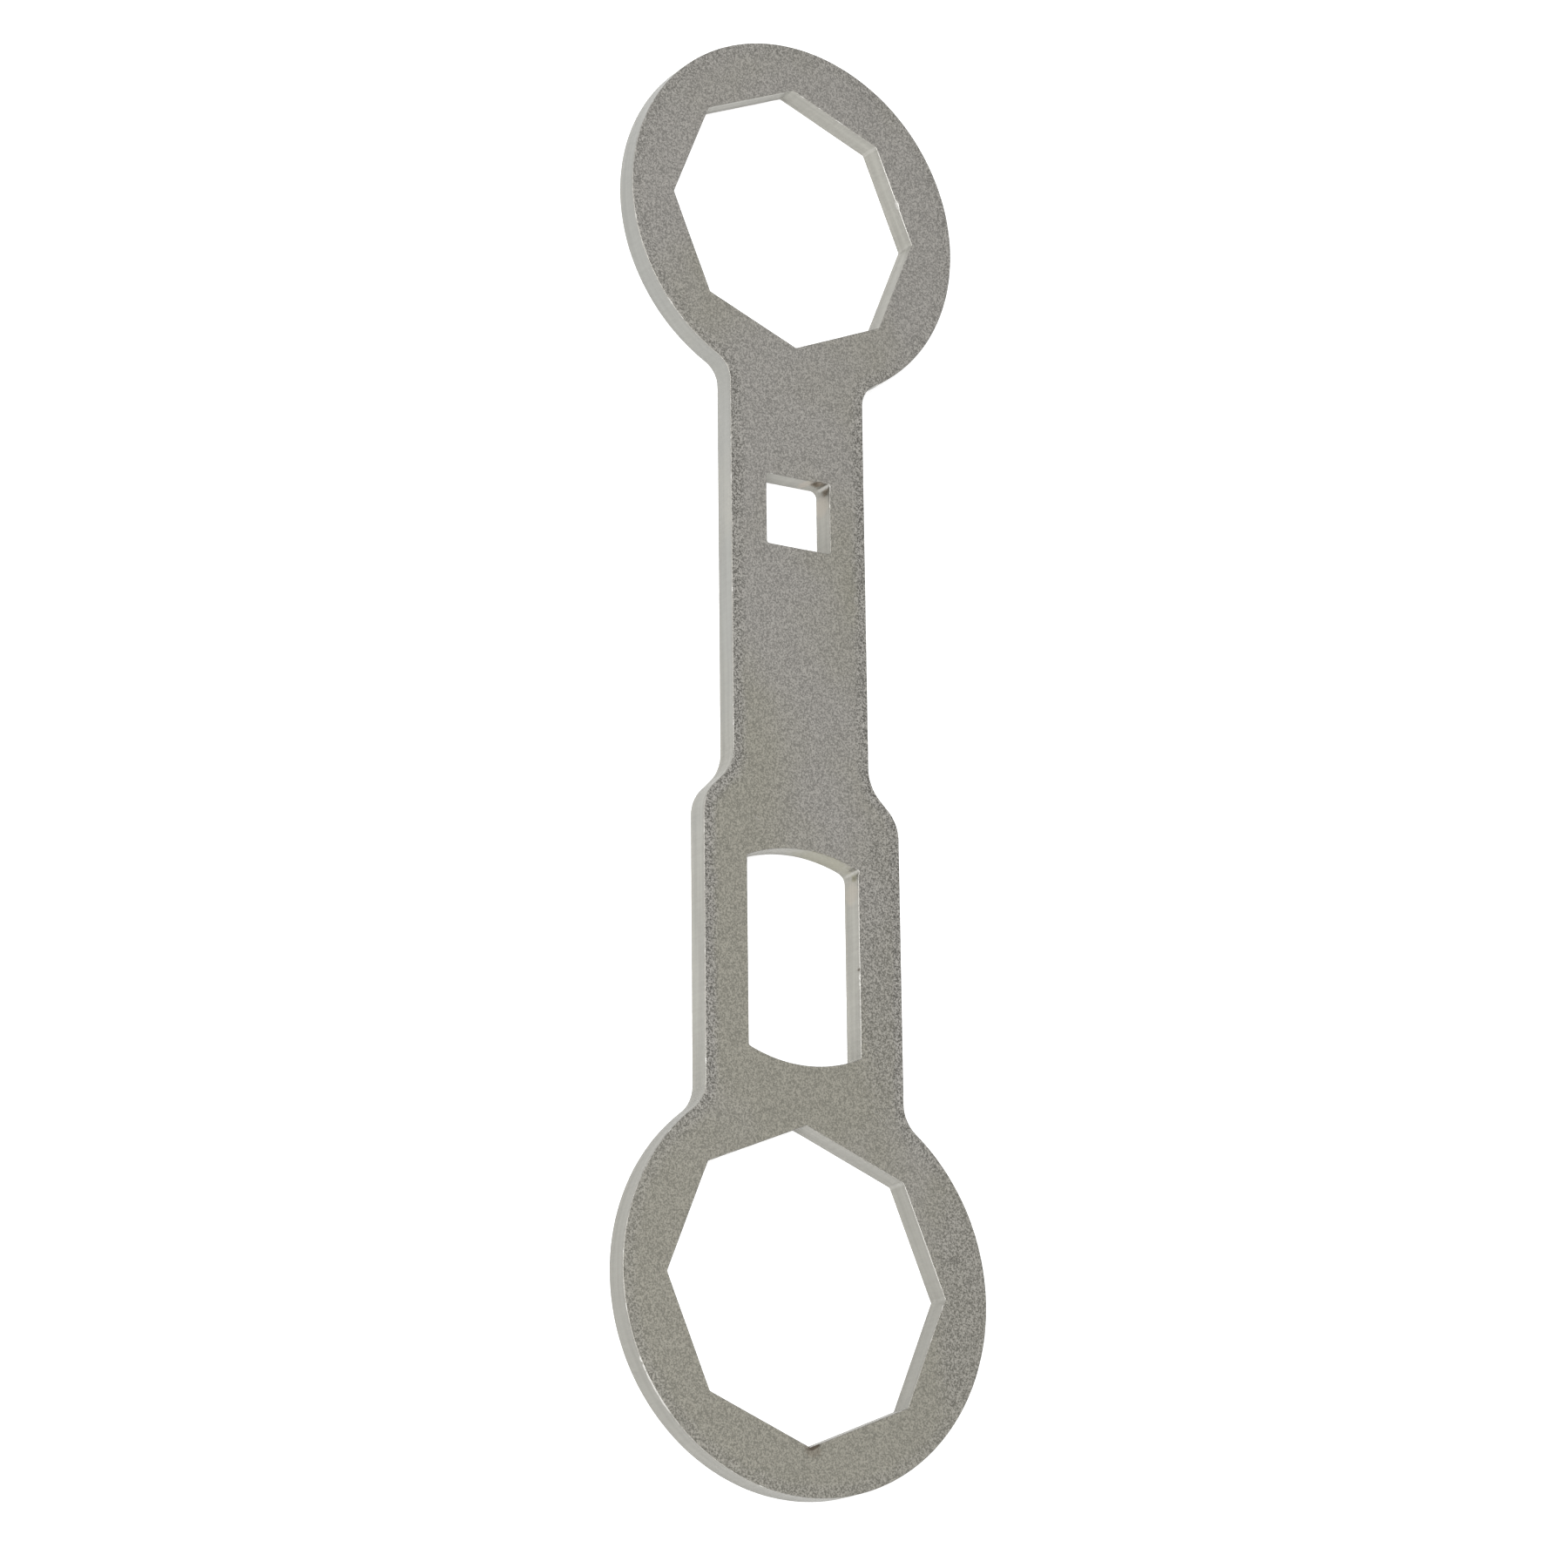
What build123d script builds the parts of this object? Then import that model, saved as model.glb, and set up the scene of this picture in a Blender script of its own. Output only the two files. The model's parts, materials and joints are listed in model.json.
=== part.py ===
from build123d import *

import math
import os

# Double-ended flat ring wrench, cut from one steel plate. Millimetres, +Z up.
# The plate lies flat on Z = 0 with its length along X and the bigger ring at +X.
# The origin is the middle of the plate's bounding box, on its lower face.

# ---- driving dimensions -------------------------------------------------

plate_thickness = 4.5
edge_break = 0.25  # chamfer left on every rim by deburring and tumbling

# the two eight-sided rings, each with a corner on the long axis
ring_sides = 8
big_across_flats = 50.0
small_across_flats = 45.5
ring_wall = 8.4  # from an octagon's corner to the outside of its ring
octagon_corner_radius = 0.3

# barrel-shaped window in the wide part of the handle, with bowed ends
window_length = 37.7
window_width = 22.1
window_end_radius = 27.2
window_corner_radius = 0.5
window_side_wall = 8.5

# square hole for a half-inch square drive, in the narrow part of the handle
drive_square = 12.8
drive_corner_radius = 0.4
drive_side_wall = 7.2

# metal left between one feature and the next, along the length
small_web = 24.5  # small octagon's corner to the square hole
shank_length = 41.2  # square hole to the narrow end of the shoulder
shoulder_gap = 7.3  # wide end of the shoulder to the window
big_web = 10.4  # window to the big octagon's corner

# shoulder where the handle narrows, and the necks where it meets the rings
shoulder_angle = 45.0
shoulder_outer_radius = 7.0
shoulder_inner_radius = 7.5
big_neck_radius = 6.3
small_neck_radius = 4.8

# ---- sizes that follow --------------------------------------------------

half_side = math.radians(180.0 / ring_sides)
big_corner = big_across_flats / 2 / math.cos(half_side)
small_corner = small_across_flats / 2 / math.cos(half_side)
big_ring_radius = big_corner + ring_wall
small_ring_radius = small_corner + ring_wall

wide_half = window_width / 2 + window_side_wall
narrow_half = drive_square / 2 + drive_side_wall
shoulder_length = (wide_half - narrow_half) / math.tan(math.radians(shoulder_angle))

# distances along the length, counted from the centre of the small ring
drive_middle = small_corner + small_web + drive_square / 2
shoulder_start = drive_middle + drive_square / 2 + shank_length
shoulder_end = shoulder_start + shoulder_length
window_middle = shoulder_end + shoulder_gap + window_length / 2
ring_distance = window_middle + window_length / 2 + big_web + big_corner

overall_length = small_ring_radius + ring_distance + big_ring_radius
small_ring_x = small_ring_radius - overall_length / 2
big_ring_x = small_ring_x + ring_distance


def outline():
    """Outer edge: two discs joined by the stepped handle, with every joint rounded."""
    handle = [
        (0, narrow_half),
        (shoulder_start, narrow_half),
        (shoulder_end, wide_half),
        (ring_distance, wide_half),
    ]
    lower = [(x, -y) for x, y in reversed(handle)]
    with BuildSketch() as sketch:
        with Locations((small_ring_x, 0)):
            Circle(small_ring_radius)
            Polygon(*handle, *lower, align=None)
        with Locations((big_ring_x, 0)):
            Circle(big_ring_radius)
        # the corners come in pairs, here in order from the small ring to the big one
        roundings = (small_neck_radius, shoulder_inner_radius, shoulder_outer_radius, big_neck_radius)
        # rounded from the big ring back, so the pairs still to come keep their places in the order,
        # and looked up afresh each time, because rounding one pair renews the whole outline
        for place in reversed(range(len(roundings))):
            pair = sketch.vertices().group_by(Axis.X)[place]
            fillet(pair, radius=roundings[place])
    return sketch.sketch


def octagon(across_flats, x):
    """Eight-sided opening with a corner on the long axis."""
    shape = RegularPolygon(across_flats / 2, ring_sides, major_radius=False)
    return Pos(x, 0) * fillet(shape.vertices(), radius=octagon_corner_radius)


def window():
    """Barrel-shaped opening: straight sides, and ends that bow outwards."""
    offset = window_length / 2 - window_end_radius
    sides = Rectangle(window_length, window_width)
    bowed = Pos(offset, 0) * Circle(window_end_radius)
    bowed &= Pos(-offset, 0) * Circle(window_end_radius)
    shape = sides & bowed
    shape = fillet(shape.vertices(), radius=window_corner_radius)
    return Pos(small_ring_x + window_middle, 0) * shape


def drive_hole():
    """Square hole that takes a half-inch drive."""
    shape = Rectangle(drive_square, drive_square)
    shape = fillet(shape.vertices(), radius=drive_corner_radius)
    return Pos(small_ring_x + drive_middle, 0) * shape


def wrench_plate():
    """The whole wrench: one plate, cut through and deburred on both faces."""
    profile = outline()
    profile -= octagon(big_across_flats, big_ring_x)
    profile -= octagon(small_across_flats, small_ring_x)
    profile -= window()
    profile -= drive_hole()
    plate = extrude(profile, amount=plate_thickness)
    faces = plate.faces().sort_by(Axis.Z)
    return chamfer(faces[0].edges() + faces[-1].edges(), edge_break)


def main():
    """Write the plate as a STEP file."""
    os.makedirs("parts", exist_ok=True)
    plate = wrench_plate()
    plate.label = "wrench_plate"
    export_step(plate, "parts/wrench_plate.step")
    print("overall length", round(overall_length, 2), "mm")
    print("ring distance", round(ring_distance, 2), "mm")


if __name__ == "__main__":
    main()
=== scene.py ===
"""Flat double-ended ring wrench in plated steel, lying in a plain pale studio. Metres, +Z up."""

import json
import logging
import math
from dataclasses import dataclass, field
from enum import Enum
from functools import cache

import bmesh
import bpy
from bmesh.types import BMesh, BMFace, BMVert
from mathutils import Matrix, Quaternion, Vector, noise
from mathutils.kdtree import KDTree


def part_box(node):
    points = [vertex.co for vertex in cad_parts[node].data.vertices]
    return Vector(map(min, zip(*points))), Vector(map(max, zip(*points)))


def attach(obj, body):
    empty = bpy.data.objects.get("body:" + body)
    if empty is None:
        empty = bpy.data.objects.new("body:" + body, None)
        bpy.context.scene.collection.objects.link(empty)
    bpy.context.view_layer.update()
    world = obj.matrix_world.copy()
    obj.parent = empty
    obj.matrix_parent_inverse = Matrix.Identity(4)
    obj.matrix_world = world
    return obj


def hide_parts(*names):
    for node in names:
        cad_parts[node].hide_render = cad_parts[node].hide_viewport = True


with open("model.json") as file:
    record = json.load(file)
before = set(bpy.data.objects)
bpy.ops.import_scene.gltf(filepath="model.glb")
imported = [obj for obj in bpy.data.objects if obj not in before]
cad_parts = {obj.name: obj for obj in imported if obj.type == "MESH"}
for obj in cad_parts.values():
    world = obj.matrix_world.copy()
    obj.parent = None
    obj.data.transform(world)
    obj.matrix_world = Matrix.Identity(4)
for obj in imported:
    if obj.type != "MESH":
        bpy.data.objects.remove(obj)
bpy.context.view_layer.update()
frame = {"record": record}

LOG = logging.getLogger("wrench")
NODE = "wrench_plate"
RIM_DISTANCE = "rim_distance"
MERGE = 1e-6  # points nearer than this are one point
UPRIGHT = 0.5  # a face is a wall if its normal rises by less than this
ARC_STEPS = 3  # the fewest steps in an arc
CORNER_STEPS = 4  # steps in a hole's rounded corner
HALF_LENGTH = 0.13  # of the plate, for patches that grow along it
NOISE_MIDDLE = 0.5  # the middle of a noise texture's range
UP = (0.0, 0.0, 1.0)

Colour = tuple[float, float, float, float]
Triple = tuple[float, float, float]
Socket = bpy.types.NodeSocket
Tree = bpy.types.NodeTree

WHITE: Colour = (1.0, 1.0, 1.0, 1.0)


class Surface(Enum):
    """The three surfaces of the plate, by the number of their material slot."""

    FACE = 0
    WALL = 1
    RIM = 2


class Spread(Enum):
    """How a dent spreads through the plate's thickness."""

    ROUND = "fades away in every direction"
    TAPERED = "runs right through, outwards at the upper face and inwards at the lower one"


class Tint(Enum):
    """The colours of the small stains, bare places and painted highlights on the metal."""

    BROWN = (0.225, 0.175, 0.13, 1.0)
    OLIVE = (0.315, 0.305, 0.245, 1.0)
    DARK = (0.12, 0.10, 0.08, 1.0)
    TAN = (0.43, 0.385, 0.33, 1.0)
    PALE = (0.62, 0.61, 0.58, 1.0)


# ---- drawing outlines ---------------------------------------------------


@dataclass
class Pen:
    """Draws a chain of edges, one straight or bend after another.

    Args:
        mesh: the bmesh that the chain is drawn in.
        tip: the vertex that the next stretch starts from.
        heading: the direction of travel, in radians from +X.
        spacing: the distance between vertices to aim for.
    """

    mesh: BMesh
    tip: BMVert
    heading: float
    spacing: float

    def straight(self, length: float) -> None:
        """Draws a straight stretch.

        Args:
            length: how long the stretch is.
        """
        steps = max(1, round(length / self.spacing))
        step = Vector((math.cos(self.heading), math.sin(self.heading), 0.0)) * (length / steps)
        for _ in range(steps):
            made = bmesh.ops.extrude_vert_indiv(self.mesh, verts=[self.tip])
            self.tip = made["verts"][0]
            bmesh.ops.translate(self.mesh, verts=[self.tip], vec=step)

    def bend(self, radius: float, angle: float) -> None:
        """Draws an arc.

        Args:
            radius: the arc's radius.
            angle: how far the heading turns, in radians, positive to the left.
        """
        steps = max(ARC_STEPS, round(radius * abs(angle) / self.spacing))
        left = Vector((-math.sin(self.heading), math.cos(self.heading), 0.0))
        centre = self.tip.co + left * math.copysign(radius, angle)
        made = bmesh.ops.spin(
            self.mesh,
            geom=[self.tip],
            cent=centre,
            axis=UP,
            angle=angle,
            steps=steps,
            use_merge=False,
        )
        self.tip = next(g for g in made["geom_last"] if isinstance(g, BMVert))
        self.heading += angle


def pen_at(mesh: BMesh, x: float, y: float, heading: float, spacing: float) -> Pen:
    """Puts a pen on a new vertex at x, y."""
    return Pen(mesh, mesh.verts.new((x, y, 0.0)), heading, spacing)


def around(centre_x: float, radius: float, degrees: float, height: float) -> Vector:
    """A point round a centre on the long axis, at an angle from +X and at the given height."""
    angle = math.radians(degrees)
    return Vector((centre_x + radius * math.cos(angle), radius * math.sin(angle), height))


# ---- parts of the plate's outline ---------------------------------------


@dataclass
class PolygonHole:
    """A many-sided hole with slightly rounded corners.

    Args:
        centre_x: the hole's middle on the long axis.
        sides: how many sides it has.
        across_flats: the distance between opposite sides.
        corner_radius: the rounding of its corners.
        turn: how far it is turned about Z, in radians.
        spacing: the distance between vertices to aim for.
        worn_radius: the rounding of the corner that the cut began at, or None.
    """

    centre_x: float
    sides: int
    across_flats: float
    corner_radius: float
    turn: float
    spacing: float
    worn_radius: float | None = None

    @property
    def corner(self) -> float:
        """Distance from the middle to a corner."""
        return self.across_flats / 2 / math.cos(math.pi / self.sides)

    def side_turn(self, side: int) -> float:
        """Direction that a side runs in, in radians. Side 0 is just past +X, the others in turn."""
        return math.pi / 2 + (2 * side + 1) * math.pi / self.sides + self.turn

    def on_side(self, side: int, along: float, height: float) -> Vector:
        """A point on one side.

        Args:
            side: the number of the side, with side 0 just past +X.
            along: the distance from the side's middle, the way it runs.
            height: how high the point is.

        Returns:
            The point.
        """
        run = self.side_turn(side)
        reach = self.across_flats / 2
        return Vector((
            self.centre_x + reach * math.sin(run) + along * math.cos(run),
            along * math.sin(run) - reach * math.cos(run),
            height,
        ))

    def on_corner(self, degrees: float, height: float) -> Vector:
        """The corner that lies at an angle from +X, at the given height."""
        return around(self.centre_x, self.corner, degrees, height)

    def draw(self, mesh: BMesh) -> None:
        """Adds the hole's edge loop to a mesh.

        Args:
            mesh: the bmesh to add it to.
        """
        place = Matrix.Translation((self.centre_x, 0.0, 0.0)) @ Matrix.Rotation(self.turn, 4, "Z")
        hole = bmesh.new()
        bmesh.ops.create_circle(
            hole, cap_ends=True, segments=self.sides, radius=self.corner, matrix=place
        )
        tangent = math.tan(math.pi / self.sides)
        corners = sorted(hole.verts, key=lambda v: v.co.y - v.co.x, reverse=True)
        groups = [(corners, self.corner_radius)]
        if self.worn_radius is not None:
            groups = [(corners[1:], self.corner_radius), (corners[:1], self.worn_radius)]
        for verts, radius in groups:
            bmesh.ops.bevel(
                hole,
                geom=verts,
                offset=radius * tangent,
                affect="VERTICES",
                segments=CORNER_STEPS,
                profile=0.5,
                material=-1,
            )
        bmesh.ops.delete(hole, geom=hole.faces[:], context="FACES_ONLY")
        for edge in hole.edges[:]:
            cuts = round(edge.calc_length() / self.spacing) - 1
            if cuts > 0:
                bmesh.ops.subdivide_edges(hole, edges=[edge], cuts=cuts)
        copy_loop(hole, mesh)


@dataclass
class BarrelWindow:
    """The window in the handle: two straight sides, and ends that bow outwards."""

    centre_x: float
    length: float = 0.0377
    width: float = 0.0221
    end_radius: float = 0.0272
    corner_radius: float = 0.0005
    spacing: float = 0.0004

    @property
    def corner_reach(self) -> float:
        """Distance along X from the middle to where a side meets a bowed end."""
        reach = math.sqrt(self.end_radius**2 - (self.width / 2) ** 2)
        return reach + self.length / 2 - self.end_radius

    def draw(self, mesh: BMesh) -> None:
        """Adds the window's edge loop to a mesh.

        Args:
            mesh: the bmesh to add it to.
        """
        inner = self.end_radius - self.corner_radius
        rise = self.width / 2 - self.corner_radius
        half_sweep = math.asin(rise / inner)
        half_side = math.sqrt(inner**2 - rise**2) + self.length / 2 - self.end_radius
        pen = pen_at(mesh, self.centre_x - half_side, self.width / 2, 0.0, self.spacing)
        for _ in range(2):
            pen.straight(2 * half_side)
            pen.bend(self.corner_radius, half_sweep - math.pi / 2)
            pen.bend(self.end_radius, -2 * half_sweep)
            pen.bend(self.corner_radius, half_sweep - math.pi / 2)


@dataclass
class RingEnd:
    """One ring of the plate, round outside and eight-sided inside."""

    centre_x: float
    across_flats: float
    neck_radius: float
    wall: float = 0.0084
    sides: int = 8
    corner_radius: float = 0.0003
    spacing: float = 0.0006

    @property
    def hole(self) -> PolygonHole:
        """The eight-sided hole, with a corner on the long axis."""
        return PolygonHole(
            self.centre_x, self.sides, self.across_flats, self.corner_radius, 0.0, self.spacing
        )

    @property
    def radius(self) -> float:
        """Radius of the ring's outside."""
        return self.hole.corner + self.wall

    def on_outside(self, degrees: float, height: float) -> Vector:
        """A point on the ring's outside, at an angle from +X and at the given height."""
        return around(self.centre_x, self.radius, degrees, height)

    def neck(self, half_width: float) -> tuple[float, float]:
        """Where the rounded neck between this ring and a handle lies.

        Args:
            half_width: half the handle's width there.

        Returns:
            The neck centre's distance from the ring's centre along X, and its direction in radians.
        """
        reach = self.radius + self.neck_radius
        rise = half_width + self.neck_radius
        return math.sqrt(reach**2 - rise**2), math.asin(rise / reach)


def copy_loop(source: BMesh, target: BMesh) -> None:
    """Moves everything in one bmesh into another, and frees the first.

    Args:
        source: the bmesh that is emptied.
        target: the bmesh that it joins.
    """
    carrier = bpy.data.meshes.new("carrier")
    source.to_mesh(carrier)
    source.free()
    target.from_mesh(carrier)
    bpy.data.meshes.remove(carrier)


# ---- small damage -------------------------------------------------------


@dataclass(frozen=True)
class Dent:
    """A small dent or chip in the metal.

    Args:
        name: what it is.
        place: its middle.
        radius: how far it reaches.
        shift: how far, and which way, it moves the metal at its middle.
        spread: how it spreads through the thickness.
    """

    name: str
    place: Vector
    radius: float
    shift: Vector
    spread: Spread = Spread.ROUND

    def move(self, vert: BMVert) -> None:
        """Moves a vertex, if the dent reaches it.

        Args:
            vert: the vertex.
        """
        offset = vert.co - self.place
        strength = 1.0
        if self.spread is Spread.TAPERED:
            offset.z = 0.0
            strength = 2.0 * vert.co.z / self.place.z - 1.0
        share = offset.length / self.radius
        if share < 1.0:
            vert.co += self.shift * strength * (1.0 - share**2) ** 2


@dataclass(frozen=True)
class Stain:
    """A patch of another colour, an ellipsoid with a ragged edge.

    Args:
        name: what it is.
        centre: its middle.
        size: half its length, width and height.
        tint: its colour.
        strength: how much of the colour shows, from 0 to 1.
        surfaces: the surfaces that it shows on.
        turn: how far its length is turned from +X, in radians.
    """

    name: str
    centre: Vector
    size: Triple
    tint: Tint
    strength: float
    surfaces: tuple[Surface, ...] = (Surface.WALL, Surface.RIM)
    turn: float = 0.0


# ---- the plate ----------------------------------------------------------


@dataclass
class WrenchPlate:
    """The whole wrench: one plate with two rings, a stepped handle, a window and a square hole."""

    big: RingEnd
    small: RingEnd
    window: BarrelWindow
    drive: PolygonHole
    thickness: float
    narrow_half: float = 0.0136
    wide_half: float = 0.01955
    shoulder_start: float = 0.00614
    shoulder_angle: float = math.radians(45.0)
    inner_radius: float = 0.0075
    outer_radius: float = 0.0070
    rim_radius: float = 0.00011
    rim_steps: int = 3
    wall_rows: int = 8
    spacing: float = 0.0007
    face_rings: tuple[float, ...] = (0.0008, 0.0011, 0.0014)
    cut_ripple: float = 0.000014
    cut_waviness: Vector = field(default_factory=lambda: Vector((1400.0, 1400.0, 120.0)))
    edge_ripple: float = 0.00003
    edge_waviness: Vector = field(default_factory=lambda: Vector((260.0, 260.0, 60.0)))

    def draw_outline(self, mesh: BMesh) -> None:
        """Draws the +Y half of the outside edge from tip to tip, and mirrors it.

        Args:
            mesh: the bmesh to draw it in.
        """
        small_reach, small_angle = self.small.neck(self.narrow_half)
        big_reach, big_angle = self.big.neck(self.wide_half)
        tangent = math.tan(self.shoulder_angle / 2)
        rise = self.wide_half - self.narrow_half
        shoulder_end = self.shoulder_start + rise / math.tan(self.shoulder_angle)
        start = self.small.centre_x - self.small.radius
        quarter = math.pi / 2
        pen = pen_at(mesh, start, 0.0, quarter, self.spacing)
        pen.bend(self.small.radius, small_angle - math.pi)
        pen.bend(self.small.neck_radius, quarter - small_angle)
        small_neck_end = self.small.centre_x + small_reach
        pen.straight(self.shoulder_start - self.inner_radius * tangent - small_neck_end)
        pen.bend(self.inner_radius, self.shoulder_angle)
        slope = rise / math.sin(self.shoulder_angle)
        pen.straight(slope - (self.inner_radius + self.outer_radius) * tangent)
        pen.bend(self.outer_radius, -self.shoulder_angle)
        big_neck_start = self.big.centre_x - big_reach
        pen.straight(big_neck_start - shoulder_end - self.outer_radius * tangent)
        pen.bend(self.big.neck_radius, quarter - big_angle)
        pen.bend(self.big.radius, big_angle - math.pi)
        bmesh.ops.mirror(
            mesh,
            geom=mesh.verts[:] + mesh.edges[:],
            matrix=Matrix.Identity(4),
            merge_dist=MERGE,
            axis="Y",
        )

    def fill(self, mesh: BMesh) -> list[BMFace]:
        """Fills between all the edge loops, leaving the openings open.

        Args:
            mesh: the bmesh that holds the loops and nothing else.

        Returns:
            The new faces.
        """
        made = bmesh.ops.triangle_fill(
            mesh, use_beauty=True, use_dissolve=False, edges=mesh.edges[:], normal=UP
        )
        return [g for g in made["geom"] if isinstance(g, BMFace)]

    def round_rim(self, mesh: BMesh, faces: list[BMFace]) -> None:
        """Rounds the rim of one flat side, and sets narrow rings of faces inside it.

        Args:
            mesh: the plate's bmesh, as thick as the plate less its two rims.
            faces: the faces of that side, which end up the plate's full thickness.
        """
        angles = [math.pi / 2 * step / self.rim_steps for step in range(self.rim_steps + 1)]
        for before, after in zip(angles, angles[1:]):
            made = bmesh.ops.inset_region(
                mesh,
                faces=faces,
                thickness=self.rim_radius * (math.cos(before) - math.cos(after)),
                depth=self.rim_radius * (math.sin(after) - math.sin(before)),
                use_boundary=True,
                use_even_offset=True,
            )
            for face in made["faces"]:
                face.material_index = Surface.RIM.value
        for width in self.face_rings:
            bmesh.ops.inset_region(
                mesh,
                faces=faces,
                thickness=width,
                depth=0.0,
                use_boundary=True,
                use_even_offset=True,
            )

    def measure_border(self, mesh: BMesh, outline: list[Vector]) -> None:
        """Stores each vertex's distance from the outside edge, for the finishes to read.

        Args:
            mesh: the plate's bmesh.
            outline: the points of the outside edge, at any height.
        """
        layer = mesh.verts.layers.float.new(RIM_DISTANCE)
        tree = KDTree(len(outline))
        for number, point in enumerate(outline):
            tree.insert((point.x, point.y, 0.0), number)
        tree.balance()
        for vert in mesh.verts:
            vert[layer] = tree.find((vert.co.x, vert.co.y, 0.0))[2]

    def roughen(self, mesh: BMesh) -> None:
        """Gives the walls and rims the slight unevenness of a cut plate, then adds the dents.

        Args:
            mesh: the plate's bmesh.
        """
        mesh.normal_update()
        walls = {v for f in mesh.faces if f.material_index != Surface.FACE.value for v in f.verts}
        for vert in walls:
            outward = Vector((vert.normal.x, vert.normal.y, 0.0))
            if outward.length > MERGE:
                cut = noise.noise(vert.co * self.cut_waviness)
                edge = noise.noise(vert.co * self.edge_waviness)
                # a ripple only ever takes metal away, so the plate stays inside its true size
                depth = self.cut_ripple * (1 + cut) / 2 + self.edge_ripple * (1 + edge) / 2
                vert.co -= outward.normalized() * depth
        for dent in self.dents():
            LOG.debug("dent: %s", dent.name)
            for vert in mesh.verts:
                dent.move(vert)

    def corner_of_drive(self) -> Vector:
        """The square's corner towards -X and +Y, at the upper face, where its cut began."""
        half = self.drive.across_flats / 2
        return Vector((self.drive.centre_x - half, half, self.thickness))

    def corner_of_window(self) -> Vector:
        """The window's corner towards -X and +Y, at the upper face, where its cut began."""
        corner_x = self.window.centre_x - self.window.corner_reach
        return Vector((corner_x, self.window.width / 2, self.thickness))

    def dents(self) -> list[Dent]:
        """Lists the small dents and chips, each placed from the opening that it is on.

        Returns:
            The dents, in the order that they are made.
        """
        square = self.corner_of_drive()
        bowed = self.corner_of_window()
        window_side = Vector((self.window.centre_x, bowed.y, self.thickness))
        kink = self.small.hole.on_side(2, -0.0017, self.thickness)
        return [
            Dent("square's cut start", square, 0.0012,
                 Vector((-0.00022, 0.00022, 0.0)), Spread.TAPERED),
            Dent("torn edge by it", square + Vector((0.0, -0.0018, -0.0009)), 0.0014,
                 Vector((-0.0004, 0.0, 0.0))),
            Dent("chip by it", square + Vector((0.0009, 0.0, -0.0012)), 0.0007,
                 Vector((0.0, 0.0003, 0.0))),
            Dent("window's cut start", bowed, 0.0012,
                 Vector((-0.00022, 0.00022, 0.0)), Spread.TAPERED),
            Dent("chip below it", bowed + Vector((0.0008, 0.0, -0.0012)), 0.0006,
                 Vector((0.0, 0.0003, 0.0))),
            Dent("pip on the window's side", window_side + Vector((0.0008, 0.0, -0.0003)), 0.0005,
                 Vector((0.0, 0.00025, -0.00005))),
            Dent("kink in the small ring", kink, 0.0010, Vector((-0.00012, 0.00030, 0.0))),
        ]

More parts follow.
